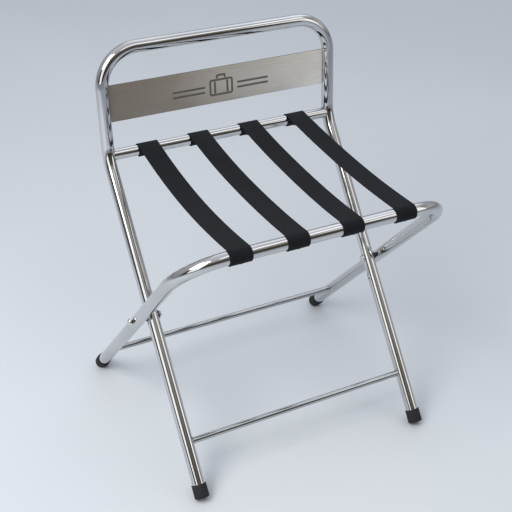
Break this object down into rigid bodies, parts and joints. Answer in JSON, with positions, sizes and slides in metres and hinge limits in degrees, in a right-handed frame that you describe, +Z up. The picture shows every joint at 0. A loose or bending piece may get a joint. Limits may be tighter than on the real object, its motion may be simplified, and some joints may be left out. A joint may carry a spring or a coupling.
{
  "type": "folding luggage rack",
  "caption": "Folding luggage rack: two bent chrome tube frames crossed on a pivot, webbing straps over the top and a flat plate in the raised back.",
  "frame": {"origin": "on the floor, under the middle of the open rack's box", "axes": "+Z up, -Y to the front where the lower rail of the strap seat is, +Y to the raised back, +X to the right seen from the front"},
  "size_m": [0.5246, 0.436, 0.6644],
  "materials": {
    "metal_tube": "polished",
    "brushed_plate": "brushed along its length",
    "rubber_feet": "matte moulded",
    "fastener": "polished",
    "pivot_plastic": "matte",
    "webbing": "woven polyester"
  },
  "bodies": {
    "back_frame": {"back_frame_tube": "metal_tube", "crossbar": "metal_tube", "front_stretcher": "metal_tube", "back_plate": "brushed_plate", "foot_front_left": "rubber_feet", "foot_front_right": "rubber_feet", "pivot_bolt_left": "fastener", "pivot_bolt_right": "fastener", "pivot_nut_left": "fastener", "pivot_nut_right": "fastener", "pivot_washer_left": "fastener", "pivot_washer_right": "fastener", "strap_rivet_rear_1": "fastener", "strap_rivet_rear_2": "fastener", "strap_rivet_rear_3": "fastener", "strap_rivet_rear_4": "fastener", "pivot_spacer_left": "pivot_plastic", "pivot_spacer_right": "pivot_plastic", "strap_1": "webbing", "strap_2": "webbing", "strap_3": "webbing", "strap_4": "webbing"},
    "seat_frame": {"seat_frame_tube": "metal_tube", "rear_stretcher": "metal_tube", "foot_rear_left": "rubber_feet", "foot_rear_right": "rubber_feet", "strap_rivet_front_1": "fastener", "strap_rivet_front_2": "fastener", "strap_rivet_front_3": "fastener", "strap_rivet_front_4": "fastener"}
  },
  "joints": [
    {"name": "fold", "type": "hinge", "parent": "back_frame", "child": "seat_frame", "pos_m": [0, -0.00694, 0.25243], "axis": [-1, 0, 0], "range_deg": [0, 74], "deforming": ["strap_1", "strap_2", "strap_3", "strap_4"]}
  ]
}
